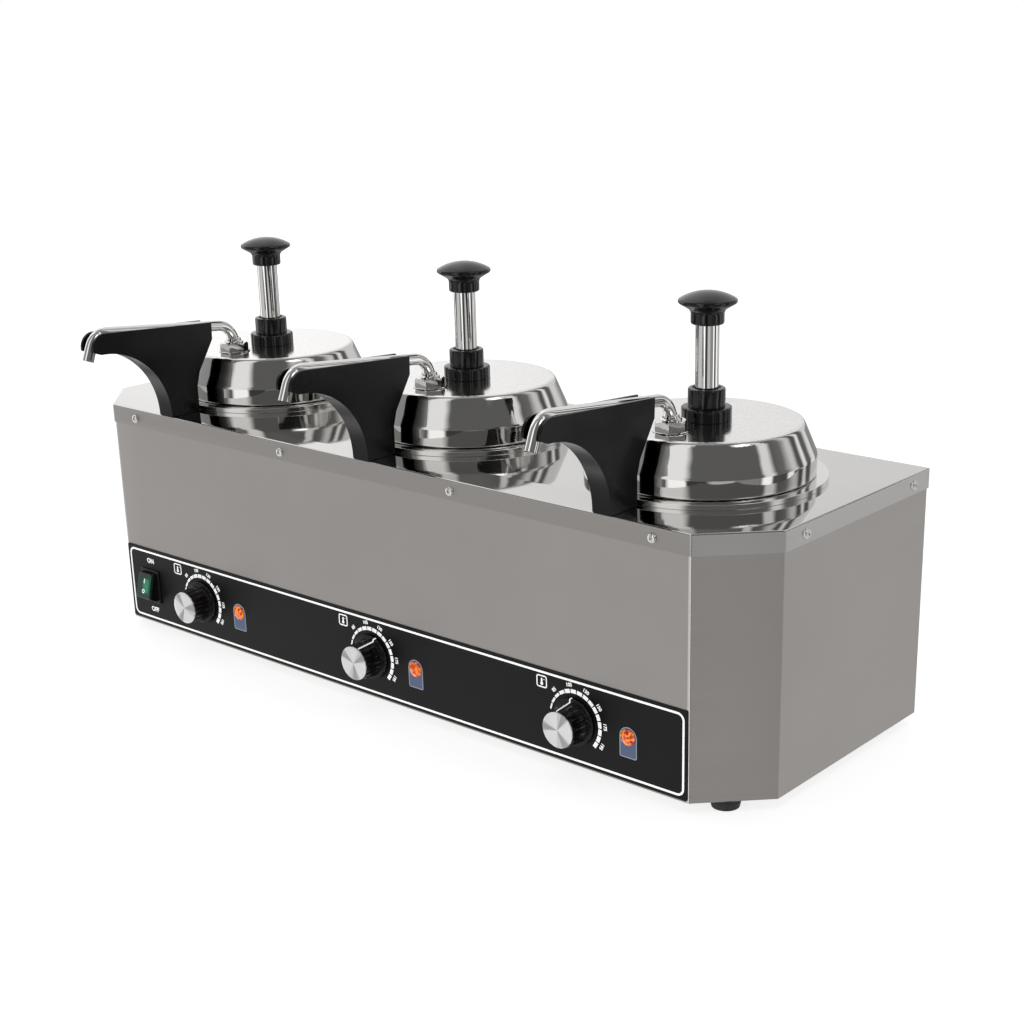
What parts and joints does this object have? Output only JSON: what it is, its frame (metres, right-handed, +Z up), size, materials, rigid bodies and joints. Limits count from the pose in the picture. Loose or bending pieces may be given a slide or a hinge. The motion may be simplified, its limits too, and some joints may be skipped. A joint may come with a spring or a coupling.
{
  "type": "topping warmer",
  "caption": "Countertop warmer for hot toppings: a long stainless water bath with lidded pots, hand pumps whose spouts reach over the front, dials, lamps and a rocker switch.",
  "frame": {"origin": "under the middle of the whole warmer, on the surface that the feet stand on", "axes": "+X to the right seen from the front, +Y to the back, +Z up"},
  "size_m": [0.7288, 0.3346, 0.346],
  "materials": {
    "brushed_casing": "brushed, satin",
    "polished_deck": "polished",
    "polished_steel": "polished",
    "well_steel": "drawn, plain",
    "chromed": "bright chrome",
    "black_moulding": "satin black moulding",
    "black_gloss": "gloss black moulding",
    "black_overlay": "satin black film",
    "amber_lens": "clear amber, faceted",
    "green_rocker": "translucent green",
    "spun_aluminium": "spun, radial sheen",
    "cast_aluminium": "as cast",
    "zinc_screws": "bright",
    "rubber": "moulded",
    "pale_insulation": "moulded",
    "thermostat_case": "plain",
    "spring_steel": "drawn wire"
  },
  "bodies": {
    "housing": {"casing_wrap": "brushed_casing", "top_deck": "polished_deck", "back_panel": "brushed_casing", "base_plate": "well_steel", "control_overlay": "black_overlay", "switch_frame": "black_gloss", "rubber_feet": "rubber", "case_screws": "zinc_screws", "cable_gland": "black_moulding", "terminal_block": "pale_insulation", "heating_elements": "cast_aluminium", "thermostats": "thermostat_case", "heat_lamps": "amber_lens", "water_well_left": "well_steel", "water_well_centre": "well_steel", "water_well_right": "well_steel"},
    "rocker": {"rocker": "black_gloss", "rocker_lens": "green_rocker"},
    "dial_left": {"dial_knob_left": "black_moulding", "dial_cap_left": "spun_aluminium"},
    "dial_centre": {"dial_knob_centre": "black_moulding", "dial_cap_centre": "spun_aluminium"},
    "dial_right": {"dial_knob_right": "black_moulding", "dial_cap_right": "spun_aluminium"},
    "pot_left": {"pot_left": "polished_steel"},
    "pump_left": {"lid_left": "polished_steel", "fluted_collar_left": "black_gloss", "guide_bush_left": "black_gloss", "pump_cylinder_left": "polished_steel", "valve_body_left": "black_moulding", "discharge_tube_left": "chromed", "tube_nut_left": "chromed", "spout_guard_left": "black_moulding"},
    "plunger_left": {"plunger_rod_left": "chromed", "plunger_knob_left": "black_gloss", "return_spring_left": "spring_steel"},
    "pot_centre": {"pot_centre": "polished_steel"},
    "pump_centre": {"lid_centre": "polished_steel", "fluted_collar_centre": "black_gloss", "guide_bush_centre": "black_gloss", "pump_cylinder_centre": "polished_steel", "valve_body_centre": "black_moulding", "discharge_tube_centre": "chromed", "tube_nut_centre": "chromed", "spout_guard_centre": "black_moulding"},
    "plunger_centre": {"plunger_rod_centre": "chromed", "plunger_knob_centre": "black_gloss", "return_spring_centre": "spring_steel"},
    "pot_right": {"pot_right": "polished_steel"},
    "pump_right": {"lid_right": "polished_steel", "fluted_collar_right": "black_gloss", "guide_bush_right": "black_gloss", "pump_cylinder_right": "polished_steel", "valve_body_right": "black_moulding", "discharge_tube_right": "chromed", "tube_nut_right": "chromed", "spout_guard_right": "black_moulding"},
    "plunger_right": {"plunger_rod_right": "chromed", "plunger_knob_right": "black_gloss", "return_spring_right": "spring_steel"}
  },
  "joints": [
    {"name": "rocker_tilt", "type": "hinge", "parent": "housing", "child": "rocker", "pos_m": [-0.2845, -0.09026, 0.044], "axis": [1, 0, 0], "range_deg": [0, 28]},
    {"name": "dial_turn_left", "type": "hinge", "parent": "housing", "child": "dial_left", "pos_m": [-0.213, -0.08946, 0.044], "axis": [0, 1, 0], "range_deg": [-10, 200]},
    {"name": "dial_turn_centre", "type": "hinge", "parent": "housing", "child": "dial_centre", "pos_m": [0, -0.08946, 0.044], "axis": [0, 1, 0], "range_deg": [-102, 108]},
    {"name": "dial_turn_right", "type": "hinge", "parent": "housing", "child": "dial_right", "pos_m": [0.213, -0.08946, 0.044], "axis": [0, 1, 0], "range_deg": [-75, 135]},
    {"name": "pot_lift_left", "type": "slide", "parent": "housing", "child": "pot_left", "axis": [0, 0, 1], "range_m": [0, 0.16]},
    {"name": "lid_lift_left", "type": "slide", "parent": "pot_left", "child": "pump_left", "axis": [0, 0, 1], "range_m": [0, 0.2]},
    {"name": "plunger_press_left", "type": "slide", "parent": "pump_left", "child": "plunger_left", "axis": [0, 0, -1], "range_m": [0, 0.045], "stiffness_N_per_m": 300, "springref_m": -0.03, "deforming": ["return_spring_left"]},
    {"name": "pot_lift_centre", "type": "slide", "parent": "housing", "child": "pot_centre", "axis": [0, 0, 1], "range_m": [0, 0.16]},
    {"name": "lid_lift_centre", "type": "slide", "parent": "pot_centre", "child": "pump_centre", "axis": [0, 0, 1], "range_m": [0, 0.2]},
    {"name": "plunger_press_centre", "type": "slide", "parent": "pump_centre", "child": "plunger_centre", "axis": [0, 0, -1], "range_m": [0, 0.045], "stiffness_N_per_m": 300, "springref_m": -0.03, "deforming": ["return_spring_centre"]},
    {"name": "pot_lift_right", "type": "slide", "parent": "housing", "child": "pot_right", "axis": [0, 0, 1], "range_m": [0, 0.16]},
    {"name": "lid_lift_right", "type": "slide", "parent": "pot_right", "child": "pump_right", "axis": [0, 0, 1], "range_m": [0, 0.2]},
    {"name": "plunger_press_right", "type": "slide", "parent": "pump_right", "child": "plunger_right", "axis": [0, 0, -1], "range_m": [0, 0.045], "stiffness_N_per_m": 300, "springref_m": -0.03, "deforming": ["return_spring_right"]}
  ]
}
